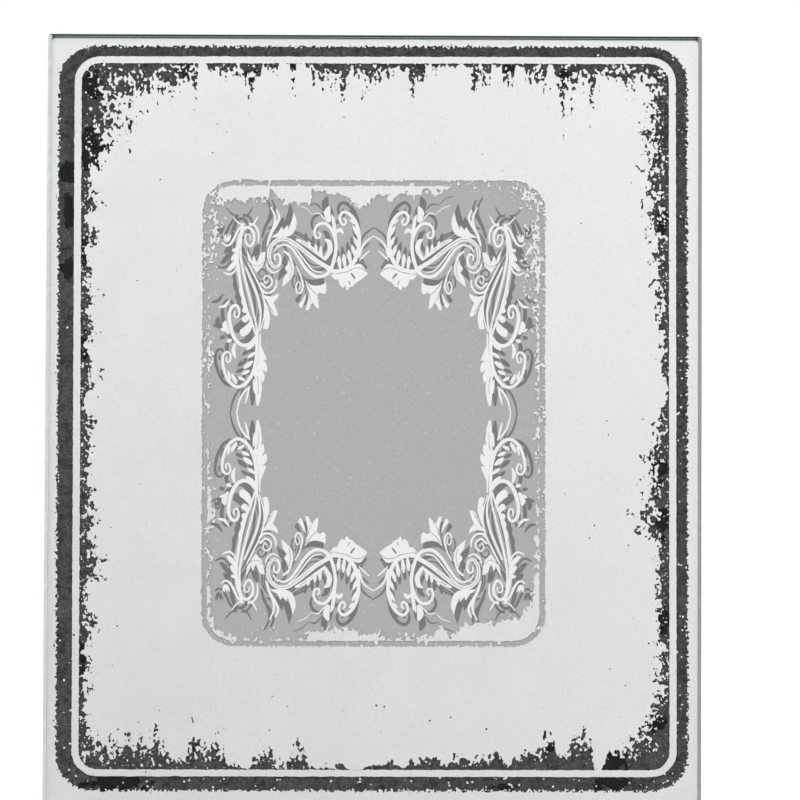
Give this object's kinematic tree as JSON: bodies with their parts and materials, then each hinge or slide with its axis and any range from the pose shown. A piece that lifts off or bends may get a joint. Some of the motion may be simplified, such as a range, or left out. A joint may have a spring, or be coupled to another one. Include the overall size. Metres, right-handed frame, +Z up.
{
  "type": "photo frame",
  "caption": "Mirrored glass photo frame with an etched border, a back door held by turn buttons and a hinged easel strut that folds flat.",
  "frame": {"origin": "middle of the footprint, on the table", "axes": "+X across the frame to the viewer's right, +Y to the rear, +Z up; the plate leans back 17 degrees"},
  "size_m": [0.2286, 0.117, 0.2677],
  "materials": {
    "glass": "clear float glass with ground edges",
    "silvering": "antiqued silver film, worn along the etched border",
    "backing": "matte black backing paper with mottled tarnish",
    "photo_paper": "satin grey insert with a white scroll border",
    "card": "plain grey board",
    "velvet_board": "fibreboard covered with black velvet paper",
    "steel": "zinc-plated sheet steel",
    "rivet_steel": "nickel-plated",
    "ribbon": "black woven satin ribbon"
  },
  "bodies": {
    "frame": {"front_glass": "glass", "silver_rim": "silvering", "silver_line": "silvering", "silver_field": "silvering", "silver_window_ring": "silvering", "black_backing": "backing", "photo_print": "photo_paper", "backer_card": "card", "back_board": "velvet_board", "back_door": "velvet_board", "hinge_fixed_leaf": "steel", "hinge_pin": "rivet_steel", "door_rivet_left": "rivet_steel", "door_rivet_right": "rivet_steel", "button_rivet_upper_left": "rivet_steel", "button_rivet_lower_left": "rivet_steel", "button_rivet_upper_right": "rivet_steel", "button_rivet_lower_right": "rivet_steel", "stay_ribbon": "ribbon"},
    "strut": {"easel_strut": "velvet_board", "hinge_moving_leaf": "steel", "strut_rivet_left": "rivet_steel", "strut_rivet_right": "rivet_steel"},
    "button_upper_left": {"turn_button_upper_left": "steel"},
    "button_lower_left": {"turn_button_lower_left": "steel"},
    "button_upper_right": {"turn_button_upper_right": "steel"},
    "button_lower_right": {"turn_button_lower_right": "steel"}
  },
  "joints": [
    {"name": "strut_fold", "type": "hinge", "parent": "frame", "child": "strut", "pos_m": [0, 0.00882, 0.17927], "axis": [1, 0, 0], "range_deg": [-32, 0], "deforming": ["stay_ribbon"]},
    {"name": "turn_upper_left", "type": "hinge", "parent": "frame", "child": "button_upper_left", "pos_m": [-0.0718, 0.00712, 0.18293], "axis": [0, 0.9563, -0.2924], "continuous": true},
    {"name": "turn_lower_left", "type": "hinge", "parent": "frame", "child": "button_lower_left", "pos_m": [-0.0718, -0.02335, 0.08328], "axis": [0, 0.9563, -0.2924], "continuous": true},
    {"name": "turn_upper_right", "type": "hinge", "parent": "frame", "child": "button_upper_right", "pos_m": [0.0718, 0.00712, 0.18293], "axis": [0, 0.9563, -0.2924], "continuous": true},
    {"name": "turn_lower_right", "type": "hinge", "parent": "frame", "child": "button_lower_right", "pos_m": [0.0718, -0.02335, 0.08328], "axis": [0, 0.9563, -0.2924], "continuous": true}
  ]
}
